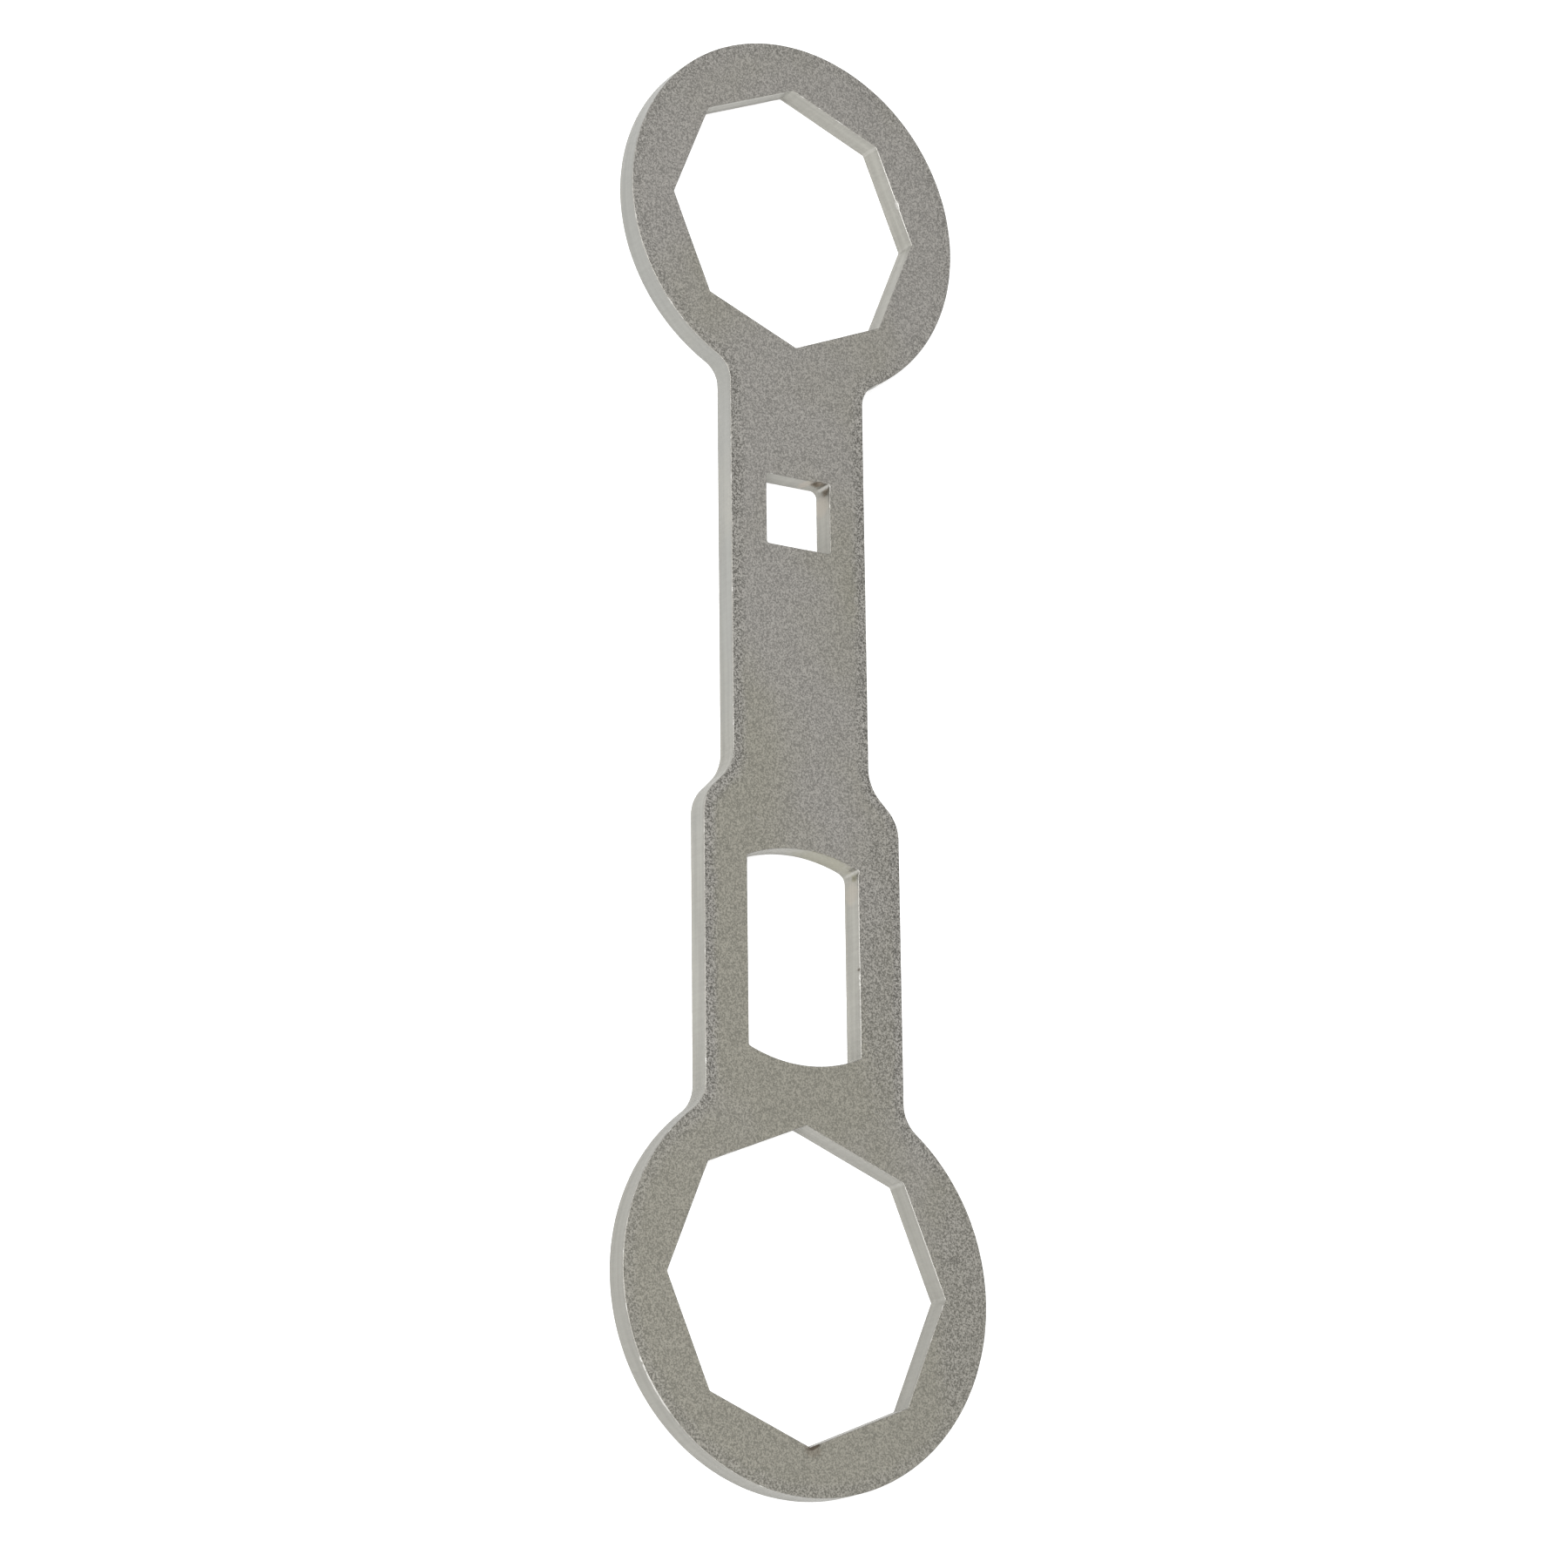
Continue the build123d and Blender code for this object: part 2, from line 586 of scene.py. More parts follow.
    def stains(self) -> list[Stain]:
        """Lists the stains, bare places and painted highlights, each placed from the opening that
        it is on.

        Returns:
            The stains, the later ones over the earlier.
        """
        square = self.corner_of_drive()
        bowed = self.corner_of_window()
        window_side = Vector((self.window.centre_x, bowed.y, self.thickness))
        tip = Vector((self.big.centre_x + self.big.hole.corner, 0.0, self.thickness))
        tip_run = self.big.hole.side_turn(0)
        far, near = self.small.hole, self.big.hole
        everywhere = tuple(Surface)
        face_only = (Surface.FACE,)
        rim_only = (Surface.RIM,)
        return [
            # dark brown patches on both walls beside the square's rounded corner
            Stain("dark brown patch on the square's end wall", square + Vector((0.0, -0.0019, -0.0010)),
                  (0.0009, 0.0013, 0.0013), Tint.BROWN, 0.7),
            Stain("tan beside it", square + Vector((0.0, -0.0038, -0.0018)),
                  (0.0008, 0.0009, 0.0022), Tint.TAN, 0.6),
            Stain("dark brown patch on the square's side wall", square + Vector((0.0010, 0.0, -0.0014)),
                  (0.0007, 0.0006, 0.0011), Tint.BROWN, 0.6),
            Stain("tan below it", square + Vector((0.0032, 0.0, -0.0024)),
                  (0.0021, 0.0006, 0.0022), Tint.TAN, 0.45),
            # a pale streak down the square's rounded corner: a painted highlight
            Stain("painted highlight in the square's corner", square + Vector((0.0, 0.0, -0.0021)),
                  (0.0004, 0.0004, 0.0040), Tint.PALE, 0.45),
            Stain("dull chip in the window's side", bowed + Vector((0.0009, 0.0, -0.0013)),
                  (0.0007, 0.0005, 0.0010), Tint.OLIVE, 1.0),
            # a pale streak down the window's rounded corner: a painted highlight
            Stain("painted highlight in the window's corner", bowed + Vector((0.0, 0.0, -0.0021)),
                  (0.0004, 0.0004, 0.0040), Tint.PALE, 0.35),
            Stain("tan below the window's corner", bowed + Vector((0.0034, 0.0, -0.0022)),
                  (0.0022, 0.0006, 0.0022), Tint.TAN, 0.4),
            Stain("olive on the bowed wall", bowed + Vector((-0.0014, -0.0062, -0.0022)),
                  (0.0030, 0.0062, 0.0030), Tint.OLIVE, 0.8),
            Stain("dark pip on the window's side", window_side + Vector((0.0008, 0.0, -0.0003)),
                  (0.0003, 0.0004, 0.0004), Tint.DARK, 0.85, everywhere),
            Stain("bare speck", window_side + Vector((0.0022, 0.0, 0.0)),
                  (0.0005, 0.0003, 0.0004), Tint.PALE, 0.9),
            Stain("second bare speck", window_side + Vector((0.0034, 0.0, 0.0)),
                  (0.0004, 0.0003, 0.0003), Tint.PALE, 0.8),
            # pale streaks along the rims of the window and the small ring: painted highlights
            Stain("painted highlight on the window's rim", window_side,
                  (0.0170, 0.0005, 0.0006), Tint.PALE, 0.45, rim_only),
            Stain("painted highlight on the small ring's rim", far.on_side(2, 0.0, self.thickness),
                  (0.0085, 0.0005, 0.0006), Tint.PALE, 0.8, rim_only, far.side_turn(2)),
            Stain("bare chip at the kink", far.on_side(2, -0.0017, self.thickness),
                  (0.0008, 0.0006, 0.0006), Tint.PALE, 1.0, everywhere, far.side_turn(2)),
            # a pale streak along a rim of the big ring's hole: a painted highlight
            Stain("painted highlight on the big ring's rim", near.on_side(2, 0.0, self.thickness),
                  (0.0095, 0.0005, 0.0006), Tint.PALE, 0.55, rim_only, near.side_turn(2)),
            Stain("grime at the big ring's tip", tip + Vector((-0.0001, 0.0006, 0.0)),
                  (0.0015, 0.00045, 0.0010), Tint.DARK, 0.9, everywhere, tip_run),
            Stain("brown about it", tip + Vector((0.0006, 0.0005, 0.0)),
                  (0.0011, 0.0016, 0.0008), Tint.BROWN, 0.38, face_only),
            Stain("scratch by the shoulder", Vector((0.0149, -0.0092, self.thickness)),
                  (0.0008, 0.00012, 0.0004), Tint.PALE, 0.4, face_only, math.radians(56.0)),
            *self.painted_rim_highlights(),
            *self.painted_corner_highlights(),
        ]

    def painted_rim_highlights(self) -> list[Stain]:
        """Lists the painted highlights that follow one another on the big ring's outside rim.

        Returns:
            The highlights, longer and longer towards the ring's tip.
        """
        half_lengths = {-65.0: 0.0005, -62.5: 0.0007, -60.0: 0.0009, -56.5: 0.0015, -52.0: 0.0018}
        # each a pale streak along the big ring's outside rim: a painted highlight
        return [
            Stain(
                f"painted highlight on the rim at {degrees:.0f} degrees",
                self.big.on_outside(degrees, self.thickness),
                (half_length, 0.0005, 0.0004),
                Tint.PALE,
                strength=0.8,
                turn=math.radians(degrees + 90.0),
            )
            for degrees, half_length in half_lengths.items()
        ]

    def painted_corner_highlights(self) -> list[Stain]:
        """Lists the painted highlights down the rings' rounded inner corners on the +Y side.

        Returns:
            The highlights of the small ring, then those of the big one.
        """
        strengths = {90.0: 0.10, 135.0: 0.22}
        # pale streaks down the rounded inner corners: painted highlights
        return [
            Stain(
                f"painted highlight at {degrees:.0f} degrees",
                ring.hole.on_corner(degrees, self.thickness / 2),
                (0.0004, 0.0004, 0.0040),
                Tint.PALE,
                strength,
            )
            for ring in (self.small, self.big)
            for degrees, strength in strengths.items()
        ]

    def build(self) -> bpy.types.Object:
        """Builds the plate's mesh.

        Returns:
            The plate, without its finishes.
        """
        mesh = bmesh.new()
        self.draw_outline(mesh)
        outline = [vert.co.copy() for vert in mesh.verts]
        for opening in (self.big.hole, self.small.hole, self.window, self.drive):
            opening.draw(mesh)
        bmesh.ops.remove_doubles(mesh, verts=mesh.verts[:], dist=MERGE)
        lower = self.fill(mesh)
        bmesh.ops.translate(mesh, verts=mesh.verts[:], vec=(0, 0, self.rim_radius))
        made = bmesh.ops.extrude_face_region(mesh, geom=lower, use_keep_orig=True)
        raised = [g for g in made["geom"] if isinstance(g, BMVert)]
        upper = [g for g in made["geom"] if isinstance(g, BMFace)]
        wall_height = self.thickness - 2 * self.rim_radius
        bmesh.ops.translate(mesh, verts=raised, vec=(0, 0, wall_height))
        bmesh.ops.recalc_face_normals(mesh, faces=mesh.faces[:])
        for face in mesh.faces:
            upright = abs(face.normal.z) < UPRIGHT
            face.material_index = Surface.WALL.value if upright else Surface.FACE.value
        for row in range(1, self.wall_rows):
            height = self.rim_radius + wall_height * row / self.wall_rows
            bmesh.ops.bisect_plane(
                mesh,
                geom=mesh.verts[:] + mesh.edges[:] + mesh.faces[:],
                plane_co=(0, 0, height),
                plane_no=UP,
            )
        self.round_rim(mesh, upper)
        self.round_rim(mesh, lower)
        self.measure_border(mesh, outline)
        self.roughen(mesh)
        for face in mesh.faces:
            face.smooth = True
        for edge in mesh.edges:
            sides = {f.material_index for f in edge.link_faces}
            edge.smooth = sides != {Surface.FACE.value, Surface.RIM.value}
        data = bpy.data.meshes.new("plate")
        mesh.to_mesh(data)
        mesh.free()
        plate = bpy.data.objects.new("plate", data)
        bpy.context.scene.collection.objects.link(plate)
        return plate

    def dress(self, plate: bpy.types.Object) -> None:
        """Gives each surface of the plate its finish, in the order of Surface.

        Args:
            plate: the plate that build made.
        """
        finishes = {Surface.FACE: PlatedFace(), Surface.WALL: CutWall(), Surface.RIM: BrokenRim()}
        for surface, finish in finishes.items():
            shown = [stain for stain in self.stains() if surface in stain.surfaces]
            plate.data.materials.append(finish.material(shown))


# ---- shader nodes -------------------------------------------------------


@dataclass
class Board:
    """A node tree being wired."""

    tree: Tree

    def add(self, kind: str, inputs: dict | None = None, **settings: object) -> bpy.types.Node:
        """Adds a node.

        Args:
            kind: the node's type name.
            inputs: for each input, by name or number, a value to set or a socket to join.
            settings: the node's own properties.

        Returns:
            The new node.
        """
        node = self.tree.nodes.new(kind)
        for name, value in settings.items():
            setattr(node, name, value)
        for key, value in (inputs or {}).items():
            if isinstance(value, Socket):
                self.join(value, node.inputs[key])
            else:
                node.inputs[key].default_value = value
        return node

    def join(self, value: Socket, socket: Socket) -> None:
        """Joins a value's socket to the one that takes it."""
        self.tree.links.new(value, socket)

    def maths(self, operation: str, first: object, second: object = 0.0) -> Socket:
        """Adds a maths node and returns its result."""
        return self.add("ShaderNodeMath", {0: first, 1: second}, operation=operation).outputs[0]

    def inverse(self, share: object) -> Socket:
        """Takes a share from 1 and returns what is left."""
        return self.maths("SUBTRACT", 1.0, share)

    def wobble(self, vector: object, fineness: float) -> Socket:
        """Adds noise that goes as far below 0 as above it, and returns its value."""
        return self.maths("SUBTRACT", self.noise(vector, fineness), NOISE_MIDDLE)

    def mix(self, share: object, first: object, second: object) -> Socket:
        """Mixes two colours by a share from 0 to 1 and returns the colour."""
        node = self.add("ShaderNodeMix", {0: share, 6: first, 7: second}, data_type="RGBA")
        return node.outputs[2]

    def blend(self, share: float, first: object, second: object) -> Socket:
        """Blends two values, with the given share of the second, and returns the value."""
        kept = self.maths("MULTIPLY", first, 1.0 - share)
        return self.maths("ADD", kept, self.maths("MULTIPLY", second, share))

    def group(self, tree: Tree, inputs: dict) -> bpy.types.Node:
        """Places a node group with its own values."""
        return self.add("ShaderNodeGroup", inputs, node_tree=tree)

    def along(self, vector: Socket) -> Socket:
        """Takes the distance along X out of coordinates and returns it."""
        return self.add("ShaderNodeSeparateXYZ", {0: vector}).outputs["X"]

    def stretch(self, vector: Socket, scale: Triple) -> Socket:
        """Scales coordinates unevenly and returns them."""
        return self.add("ShaderNodeMapping", {"Vector": vector, "Scale": scale}).outputs[0]

    def noise(self, vector: object, scale: object, detail: float = 2.0) -> Socket:
        """Adds a noise texture and returns its value."""
        node = self.add("ShaderNodeTexNoise", {"Vector": vector, "Scale": scale, "Detail": detail})
        return node.outputs[0]

    def ramp(self, value: object, low: float, high: float) -> Socket:
        """Rises smoothly from 0 to 1 as a value goes from low to high.

        Args:
            value: the value, or the socket that it comes from.
            low: where the result leaves 0.
            high: where it reaches 1.

        Returns:
            The result's socket.
        """
        node = self.add(
            "ShaderNodeMapRange",
            {"Value": value, "From Min": low, "From Max": high},
            interpolation_type="SMOOTHSTEP",
        )
        return node.outputs[0]


def new_group(
    name: str, inputs: dict[str, str], outputs: dict[str, str]
) -> tuple[Board, dict[str, Socket], bpy.types.Node]:
    """Starts a shader node group.

    Args:
        name: the group's name.
        inputs: the kind of each input socket, by name.
        outputs: the kind of each output socket, by name.

    Returns:
        The board to wire on, the input sockets by name, and the output node.
    """
    tree = bpy.data.node_groups.new(name, "ShaderNodeTree")
    for in_out, sockets in (("INPUT", inputs), ("OUTPUT", outputs)):
        for socket, kind in sockets.items():
            tree.interface.new_socket(socket, in_out=in_out, socket_type=f"NodeSocket{kind}")
    board = Board(tree)
    entry = board.add("NodeGroupInput")
    leave = board.add("NodeGroupOutput")
    return board, {name: entry.outputs[name] for name in inputs}, leave


@cache
def grain_group() -> Tree:
    """Fine pebbled grain: a light and dark speckle, and the height that goes with it.

    Returns:
        The node group.
    """
    coarseness, coarse_share = 0.45, 0.22
    low, high = 0.36, 0.64
    board, given, leave = new_group(
        "fine_grain",
        {"Vector": "Vector", "Fineness": "Float"},
        {"Speckle": "Float", "Height": "Float"},
    )
    fine = board.noise(given["Vector"], given["Fineness"])
    coarse = board.noise(given["Vector"], board.maths("MULTIPLY", given["Fineness"], coarseness))
    both = board.blend(coarse_share, fine, coarse)
    board.join(board.ramp(both, low, high), leave.inputs["Speckle"])
    board.join(both, leave.inputs["Height"])
    return board.tree


@cache
def patina_group() -> Tree:
    """Broad soft patches where the plating is yellower, with more of them towards the big ring.

    Returns:
        The node group.
    """
    low, high, detail = 0.36, 0.62, 3.0
    board, given, leave = new_group(
        "patina",
        {"Vector": "Vector", "Breadth": "Float", "Reach": "Float", "Lean": "Float"},
        {"Mask": "Float"},
    )
    cloud = board.noise(given["Vector"], board.maths("DIVIDE", 1.0, given["Breadth"]), detail)
    share = board.maths("DIVIDE", board.along(given["Vector"]), given["Reach"])
    leaning = board.maths("ADD", cloud, board.maths("MULTIPLY", share, given["Lean"]))
    board.join(board.ramp(leaning, low, high), leave.inputs["Mask"])
    return board.tree


@cache
def stain_group() -> Tree:
    """An ellipsoid patch with a ragged edge.

    Returns:
        The node group.
    """
    raggedness, fineness = 0.9, 1500.0
    inner, outer = 0.6, 1.25
    board, given, leave = new_group(
        "stain",
        {"Vector": "Vector", "Centre": "Vector", "Turn": "Vector", "Size": "Vector"},
        {"Mask": "Float"},
    )
    placed = {
        "Vector": given["Vector"],
        "Location": given["Centre"],
        "Rotation": given["Turn"],
        "Scale": given["Size"],
    }
    inside = board.add("ShaderNodeMapping", placed, vector_type="TEXTURE").outputs[0]
    gap = board.add("ShaderNodeVectorMath", {0: inside}, operation="LENGTH").outputs["Value"]
    wobble = board.maths("MULTIPLY", board.wobble(given["Vector"], fineness), raggedness)
    ragged = board.maths("ADD", gap, wobble)
    board.join(board.inverse(board.ramp(ragged, inner, outer)), leave.inputs["Mask"])
    return board.tree


@cache
def border_group() -> Tree:
    """A mask that is full at the outside edge and fades out inside it, a little unevenly.

    Returns:
        The node group.
    """
    unevenness, fineness = 0.5, 300.0
    inner, outer = 0.3, 1.0
    board, given, leave = new_group(
        "border", {"Vector": "Vector", "Distance": "Float", "Reach": "Float"}, {"Mask": "Float"}
    )
    share = board.maths("DIVIDE", given["Distance"], given["Reach"])
    wobble = board.maths("MULTIPLY", board.wobble(given["Vector"], fineness), unevenness)
    uneven = board.maths("ADD", share, wobble)
    board.join(board.inverse(board.ramp(uneven, inner, outer)), leave.inputs["Mask"])
    return board.tree


@cache
def cut_lines_group() -> Tree:
    """Lines on a cut wall: long ones that follow the wall, and short ones through the plate.

    Returns:
        The node group.
    """
    flat, steep = (0.04, 0.04, 1.0), (1.0, 1.0, 0.06)
    flat_detail, steep_share = 3.0, 0.25
    board, given, leave = new_group(
        "cut_lines", {"Vector": "Vector", "Flat": "Float", "Steep": "Float"}, {"Lines": "Float"}
    )
    along = board.noise(board.stretch(given["Vector"], flat), given["Flat"], flat_detail)
    through = board.noise(board.stretch(given["Vector"], steep), given["Steep"])
    board.join(board.blend(steep_share, along, through), leave.inputs["Lines"])
    return board.tree


@dataclass(frozen=True)
class Finish:
    """What every finish on the plate shares: two colours, a speckle of them, and its stains."""

    name: str = "finish"
    light: Colour = (0.570, 0.549, 0.509, 1.0)
    dark: Colour = (0.340, 0.327, 0.303, 1.0)
    fineness: float = 3900.0
    roughness: float = 0.45
    roughness_spread: float = 0.12
    bump: float = 0.4
    bump_height: float = 0.00003

    def border(self, board: Board, place: Socket, reach: float) -> Socket:
        """Wires a mask that is full at the outside edge and fades inside it.

        Args:
            board: the material's board.
            place: the object's coordinates.
            reach: the distance from the edge where the mask is gone.

        Returns:
            The mask.
        """
        distance = board.add("ShaderNodeAttribute", attribute_name=RIM_DISTANCE).outputs["Fac"]
        values = {"Vector": place, "Distance": distance, "Reach": reach}
        return board.group(border_group(), values).outputs["Mask"]

    def patch(self, board: Board, place: Socket, breadth: float, lean: float) -> Socket:
        """Wires the mask of the yellower patches, leaning by some towards the big ring."""
        values = {"Vector": place, "Breadth": breadth, "Reach": HALF_LENGTH, "Lean": lean}
        return board.group(patina_group(), values).outputs["Mask"]

    def colour(self, board: Board, place: Socket, speckle: Socket) -> Socket:
        """Wires the finish's own colour and returns it."""
        return board.mix(speckle, self.dark, self.light)

    def height(self, board: Board, place: Socket, grain: Socket) -> Socket:
        """Wires the finish's own relief and returns it."""
        return grain

    def material(self, stains: list[Stain]) -> bpy.types.Material:
        """Makes the material.

        Args:
            stains: the stains that it shows.

        Returns:
            The node-based material.
        """
        material = bpy.data.materials.new(self.name)
        material.use_nodes = True
        board = Board(material.node_tree)
        shader = board.tree.nodes["Principled BSDF"]
        place = board.add("ShaderNodeTexCoord").outputs["Object"]
        grain = board.group(grain_group(), {"Vector": place, "Fineness": self.fineness})
        speckle, relief = grain.outputs["Speckle"], grain.outputs["Height"]
        colour = self.colour(board, place, speckle)
        for stain in stains:
            turn = (0.0, 0.0, stain.turn)
            values = {"Vector": place, "Centre": stain.centre, "Turn": turn, "Size": stain.size}
            group = board.group(stain_group(), values)
            group.label = stain.name
            share = board.maths("MULTIPLY", group.outputs["Mask"], stain.strength)
            colour = board.mix(share, colour, stain.tint.value)
        low = self.roughness - self.roughness_spread / 2
        rough = board.maths("ADD", board.maths("MULTIPLY", speckle, self.roughness_spread), low)
        values = {
            "Strength": self.bump,
            "Distance": self.bump_height,
            "Height": self.height(board, place, relief),
        }
        bump = board.add("ShaderNodeBump", values)
        board.join(colour, shader.inputs["Base Color"])
        board.join(rough, shader.inputs["Roughness"])
        board.join(bump.outputs[0], shader.inputs["Normal"])
        shader.inputs["Metallic"].default_value = 1.0
        return material


@dataclass(frozen=True)
class PlatedFace(Finish):
    """The dull, fine-pebbled upper and lower faces, coarser and darker near the outside edge."""

    name: str = "plated_face"
    olive_light: Colour = (0.527, 0.507, 0.435, 1.0)
    olive_dark: Colour = (0.345, 0.334, 0.284, 1.0)
    border_light: Colour = (0.61, 0.590, 0.545, 1.0)
    border_dark: Colour = (0.190, 0.183, 0.164, 1.0)
    border_reach: float = 0.0033
    border_ends: tuple[float, float] = (0.058, 0.078)
    border_on_rings: float = 0.4
    handled_centres: tuple[Triple, ...] = ((0.036, 0.0158, 0.0045), (0.096, 0.031, 0.0045))
    handled_size: Triple = (0.028, 0.0060, 0.0100)
    handled_strength: float = 0.55
    patch_breadth: float = 0.035
    patch_lean: float = 0.16

    def colour(self, board: Board, place: Socket, speckle: Socket) -> Socket:
        """Wires the speckle, with yellower patches and a coarser border.

        Args:
            board: the material's board.
            place: the object's coordinates.
            speckle: the light and dark of the grain.

        Returns:
            The colour.
        """
        patch = self.patch(board, place, self.patch_breadth, self.patch_lean)
        on_rings = board.ramp(board.maths("ABSOLUTE", board.along(place)), *self.border_ends)
        handle = board.inverse(board.maths("MULTIPLY", on_rings, 1.0 - self.border_on_rings))
        border = board.maths("MULTIPLY", self.border(board, place, self.border_reach), handle)
        for centre in self.handled_centres:
            values = {"Vector": place, "Centre": centre, "Size": self.handled_size}
            handled = board.group(stain_group(), values).outputs["Mask"]
            coarser = board.maths("MULTIPLY", handled, self.handled_strength)
            border = board.maths("MAXIMUM", border, coarser)
        light = board.mix(border, board.mix(patch, self.light, self.olive_light), self.border_light)
        dark = board.mix(border, board.mix(patch, self.dark, self.olive_dark), self.border_dark)
        return board.mix(speckle, dark, light)


@dataclass(frozen=True)
class CutWall(Finish):
    """The smoother, lighter cut walls: warmer in the openings, cooler outside, with faint lines.
    The outside walls' lower level and the darkening towards the big ring are painted shade.
    """

    name: str = "cut_wall"
    light: Colour = (0.412, 0.405, 0.370, 1.0)
    dark: Colour = (0.306, 0.300, 0.273, 1.0)
    # tones for the outside walls: the cooler hue is the metal's own, the lower level than light and
    # dark is painted shade
    cool_shaded_light: Colour = (0.370, 0.369, 0.348, 1.0)
    cool_shaded_dark: Colour = (0.303, 0.302, 0.284, 1.0)
    # dull: the colour of the painted shade laid over the walls towards the big ring
    dull: Colour = (0.22, 0.215, 0.195, 1.0)
    painted_shade_span: tuple[float, float] = (0.045, 0.085)
    painted_shade_strength: float = 0.32
    outside_reach: float = 0.003
    patch_breadth: float = 0.02
    patch_lean: float = 0.24
    patch_strength: float = 0.85
    flat_lines: float = 950.0
    steep_lines: float = 1700.0
    line_share: float = 0.65
    line_levels: tuple[float, float] = (0.32, 0.68)
    roughness: float = 0.42
    fineness: float = 2400.0

    def lines(self, board: Board, place: Socket) -> Socket:
        """Wires the lines of the cut and returns their height."""
        values = {"Vector": place, "Flat": self.flat_lines, "Steep": self.steep_lines}
        return board.group(cut_lines_group(), values).outputs["Lines"]

    def colour(self, board: Board, place: Socket, speckle: Socket) -> Socket:
        """Wires the lines and speckle in the two tones, with painted shade darkening them towards
        the big ring.

        Args:
            board: the material's board.
            place: the object's coordinates.
            speckle: the light and dark of the grain.

        Returns:
            The colour.
        """
        streaks = board.ramp(self.lines(board, place), *self.line_levels)
        shade = board.blend(self.line_share, speckle, streaks)
        patch = self.patch(board, place, self.patch_breadth, self.patch_lean)
        cool = board.inverse(board.maths("MULTIPLY", patch, self.patch_strength))
        # outside walls take the cool tones: their hue is the metal's own, their lower level painted
        # shade
        outside = board.maths("MULTIPLY", self.border(board, place, self.outside_reach), cool)
        light = board.mix(outside, self.light, self.cool_shaded_light)
        dark = board.mix(outside, self.dark, self.cool_shaded_dark)
        # painted shade: the walls grow darker towards the big ring
        towards_big_ring = board.ramp(board.along(place), *self.painted_shade_span)
        painted_shade_share = board.maths("MULTIPLY", towards_big_ring, self.painted_shade_strength)
        return board.mix(painted_shade_share, board.mix(shade, dark, light), self.dull)

    def height(self, board: Board, place: Socket, grain: Socket) -> Socket:
        """Wires the lines into the grain's relief."""
        return board.blend(self.line_share, grain, self.lines(board, place))


@dataclass(frozen=True)
class BrokenRim(Finish):
    """The thin dull rim, with specks where the plating is rubbed through."""

    name: str = "broken_rim"
    light: Colour = (0.42, 0.408, 0.378, 1.0)
    dark: Colour = (0.30, 0.29, 0.265, 1.0)
    rubbed: Colour = (0.60, 0.59, 0.565, 1.0)
    speck_breadth: float = 0.0016
    speck_level: tuple[float, float] = (0.60, 0.72)
    roughness: float = 0.5
    fineness: float = 2400.0

    def colour(self, board: Board, place: Socket, speckle: Socket) -> Socket:
        """Wires the dull rim and its rubbed specks.

        Args:
            board: the material's board.
            place: the object's coordinates.
            speckle: the light and dark of the grain.

        Returns:
            The colour.
        """
        plain = board.mix(speckle, self.dark, self.light)
        specks = board.ramp(board.noise(place, 1.0 / self.speck_breadth), *self.speck_level)
        return board.mix(specks, plain, self.rubbed)


# ---- the studio ---------------------------------------------------------


@dataclass
class SoftBox:
    """One rectangular lamp, aimed at the plate's middle."""

    name: str
    azimuth: float
    elevation: float
    distance: float
    width: float
    depth: float
    watts: float

    def build(self) -> bpy.types.Object:
        """Hangs the lamp.

        Returns:
            The lamp's object.
        """
        lamp = bpy.data.lights.new(self.name, "AREA")
        lamp.shape = "RECTANGLE"
        lamp.size, lamp.size_y, lamp.energy = self.width, self.depth, self.watts
        hung = bpy.data.objects.new(self.name, lamp)
        back = direction(self.azimuth, self.elevation)
        hung.location = back * self.distance
        hung.rotation_euler = back.to_track_quat("Z", "Y").to_euler()
        bpy.context.scene.collection.objects.link(hung)
        return hung


def direction(azimuth: float, elevation: float) -> Vector:
    """The way from the plate to a lamp or camera, in degrees. Azimuth 0 stands at -Y."""
    a, e = math.radians(azimuth), math.radians(elevation)
    return Vector((math.sin(a) * math.cos(e), -math.cos(a) * math.cos(e), math.sin(e)))


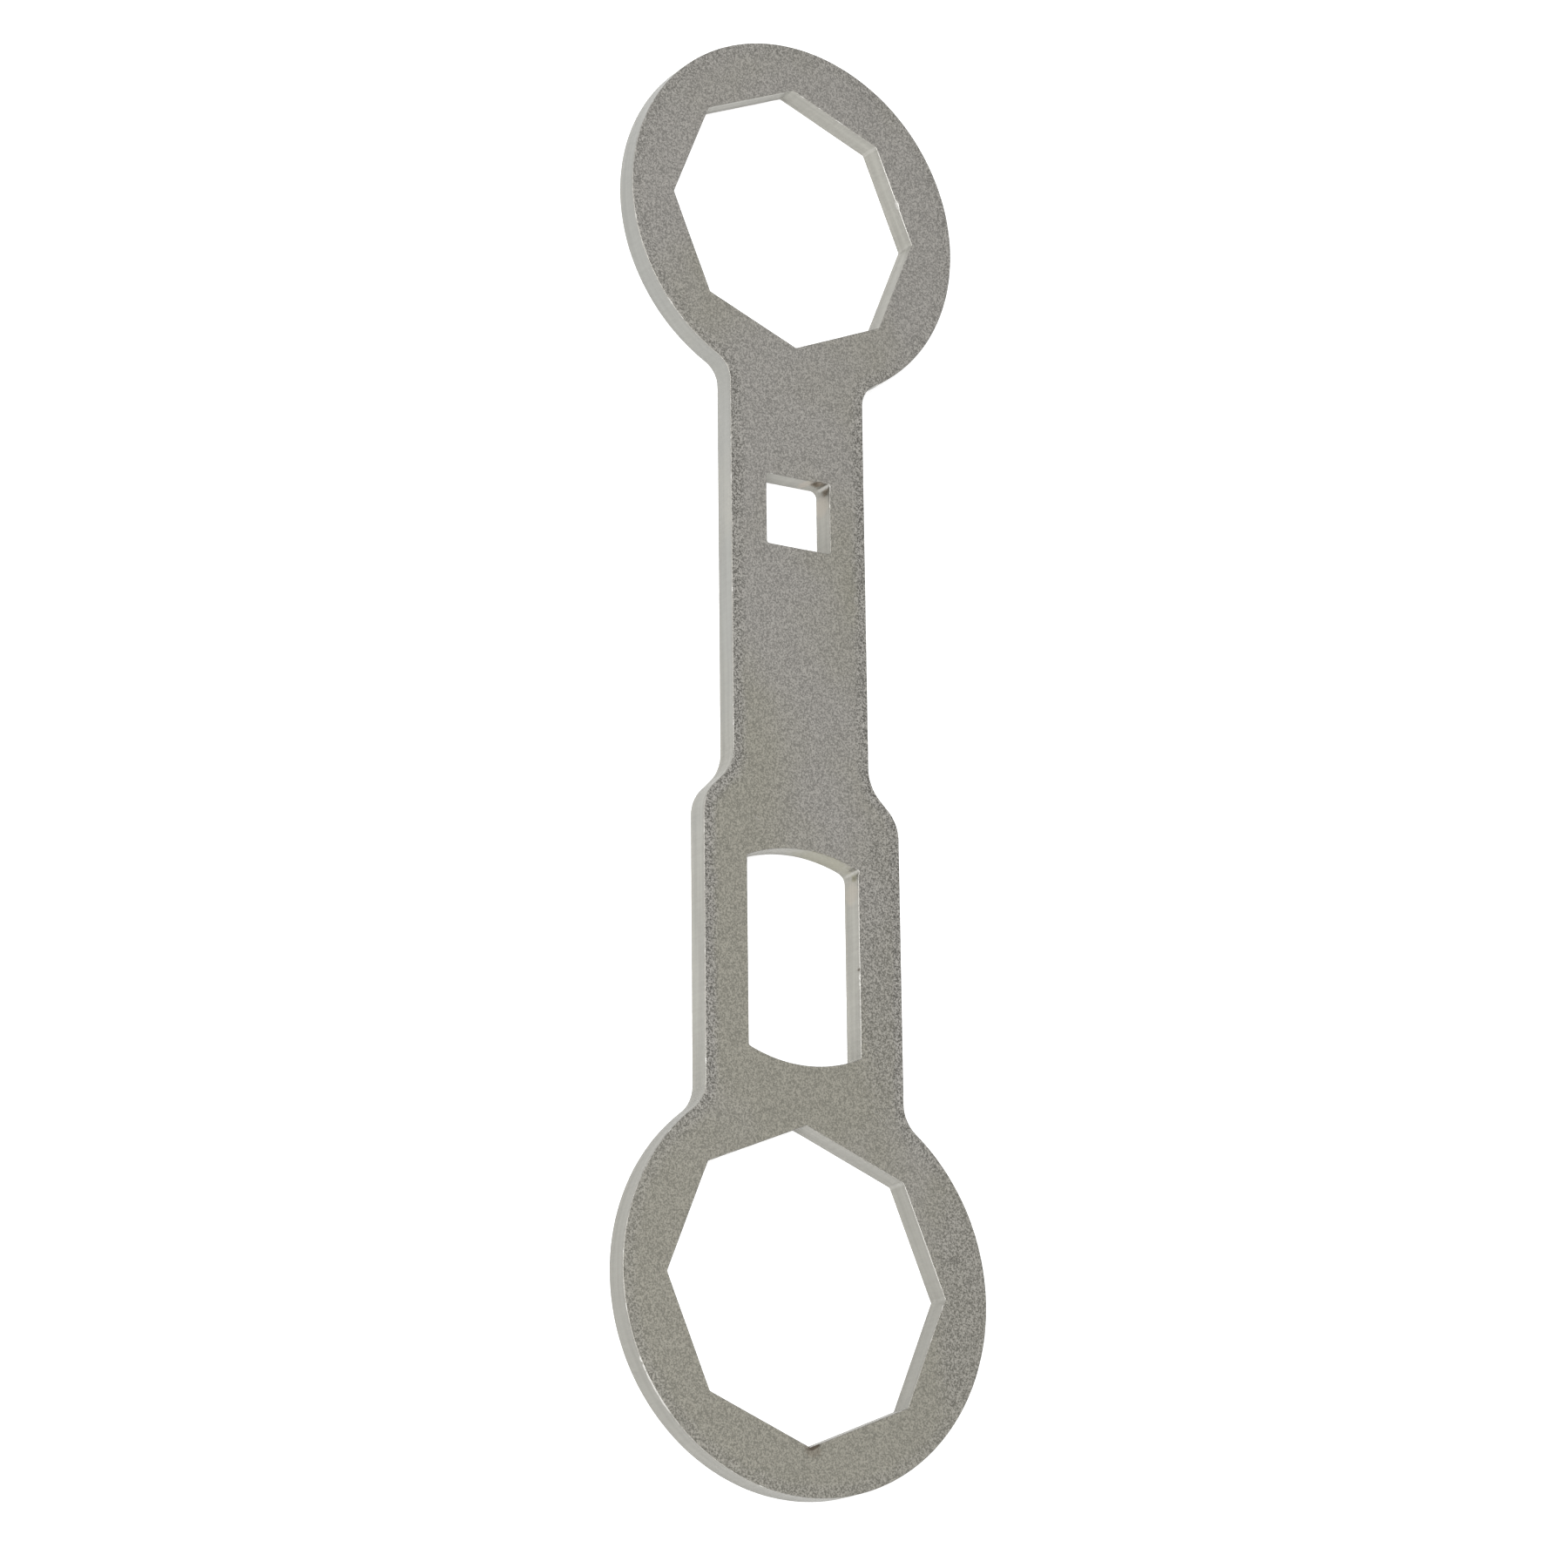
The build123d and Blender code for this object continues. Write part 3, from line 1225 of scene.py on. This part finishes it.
@dataclass
class Studio:
    """The pale floor, the lamps, the sky and the camera. Angles are in degrees.

    The floor glows a little by floor_glow, and shows whiter by floor_lift than it lights.
    """

    look_at: Vector
    azimuth: float = 29.64
    elevation: float = 54.86
    roll: float = 64.355
    distance: float = 0.84117
    lens: float = 113.05
    sensor: float = 36.0
    farthest: float = 20.0
    floor_size: float = 12.0
    floor_gap: float = 0.00002
    floor_colour: Colour = (0.87, 0.87, 0.87, 1.0)
    floor_roughness: float = 0.9
    floor_glow: float = 0.22
    floor_lift: float = 0.25
    horizon_level: float = 0.85
    zenith_level: float = 0.52
    zenith_from: float = 0.6

    def floor(self) -> bpy.types.Object:
        """Lays the floor just under the plate.

        Returns:
            The floor's object.
        """
        mesh = bmesh.new()
        bmesh.ops.create_grid(mesh, x_segments=1, y_segments=1, size=self.floor_size / 2)
        bmesh.ops.translate(mesh, verts=mesh.verts[:], vec=(0, 0, -self.floor_gap))
        data = bpy.data.meshes.new("floor")
        mesh.to_mesh(data)
        mesh.free()
        material = bpy.data.materials.new("pale_floor")
        material.use_nodes = True
        shader = material.node_tree.nodes["Principled BSDF"]
        shader.inputs["Base Color"].default_value = self.floor_colour
        shader.inputs["Roughness"].default_value = self.floor_roughness
        shader.inputs["Emission Color"].default_value = WHITE
        board = Board(material.node_tree)
        seen = board.add("ShaderNodeLightPath").outputs["Is Camera Ray"]
        glow = board.maths("ADD", board.maths("MULTIPLY", seen, self.floor_lift), self.floor_glow)
        board.join(glow, shader.inputs["Emission Strength"])
        data.materials.append(material)
        floor = bpy.data.objects.new("floor", data)
        bpy.context.scene.collection.objects.link(floor)
        return floor

    def sky(self) -> None:
        """Makes an even sky, which lights more from the horizon and shows white."""
        world = bpy.data.worlds.new("sky")
        world.use_nodes = True
        board = Board(world.node_tree)
        way = board.add("ShaderNodeTexCoord").outputs["Generated"]
        height = board.add("ShaderNodeSeparateXYZ", {0: way}).outputs["Z"]
        risen = board.ramp(height, 0.0, self.zenith_from)
        drop = board.maths("MULTIPLY", risen, self.horizon_level - self.zenith_level)
        level = board.maths("SUBTRACT", self.horizon_level, drop)
        seen = board.add("ShaderNodeLightPath").outputs["Is Camera Ray"]
        background = board.tree.nodes["Background"]
        background.inputs["Color"].default_value = WHITE
        board.join(board.maths("MAXIMUM", level, seen), background.inputs["Strength"])
        bpy.context.scene.world = world

    def camera(self) -> bpy.types.Object:
        """Sets up the camera.

        Returns:
            The camera's object.
        """
        lens = bpy.data.cameras.new("camera")
        lens.lens = self.lens
        lens.sensor_width = self.sensor
        lens.clip_end = self.farthest
        camera = bpy.data.objects.new("camera", lens)
        back = direction(self.azimuth, self.elevation)
        camera.location = self.look_at + back * self.distance
        camera.rotation_mode = "QUATERNION"
        turn = Quaternion(UP, math.radians(self.roll))
        camera.rotation_quaternion = (-back).to_track_quat("-Z", "Y") @ turn
        bpy.context.scene.collection.objects.link(camera)
        bpy.context.scene.camera = camera
        return camera

    def build(self) -> None:
        """Builds the whole studio, with each lamp aimed at the plate's middle."""
        self.floor()
        self.sky()
        self.camera()
        lamps = (
            SoftBox("key", -8.0, 62.0, distance=1.9, width=1.2, depth=1.2, watts=26.0),
            SoftBox("side_strip", 12.0, 28.0, distance=1.4, width=1.6, depth=0.4, watts=2.0),
            SoftBox("end_panel", 78.0, 26.0, distance=1.4, width=1.2, depth=1.2, watts=7.5),
        )
        for lamp in lamps:
            lamp.build()
            LOG.info("lamp %s: %.1f W", lamp.name, lamp.watts)
        bpy.context.scene.view_settings.view_transform = "Standard"


# ---- everything in order ------------------------------------------------


def mount_x(name: str) -> float:
    """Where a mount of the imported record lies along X."""
    return next(m["pos_m"][0] for m in frame["record"]["mounts"] if m["name"] == name)


def main() -> None:
    """Builds the plate and the studio."""
    low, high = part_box(NODE)
    big = RingEnd(mount_x("big_ring"), across_flats=0.050, neck_radius=0.0063)
    small = RingEnd(mount_x("small_ring"), across_flats=0.0455, neck_radius=0.0048)
    window = BarrelWindow(mount_x("window"))
    drive = PolygonHole(
        mount_x("square_drive"),
        sides=4,
        across_flats=0.0128,
        corner_radius=0.0004,
        turn=math.pi / 4,
        spacing=0.00035,
        worn_radius=0.0006,
    )
    wrench = WrenchPlate(big, small, window, drive, thickness=high.z - low.z)
    plate = wrench.build()
    wrench.dress(plate)
    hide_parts(NODE)
    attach(plate, "root")
    LOG.info("plate: %d faces", len(plate.data.polygons))
    LOG.info("plate: %d dents, %d stains", len(wrench.dents()), len(wrench.stains()))
    Studio(look_at=Vector((0.008196, -0.003609, high.z))).build()


if __name__ == "__main__":
    logging.basicConfig(level=logging.INFO, format="%(name)s: %(message)s")
    main()
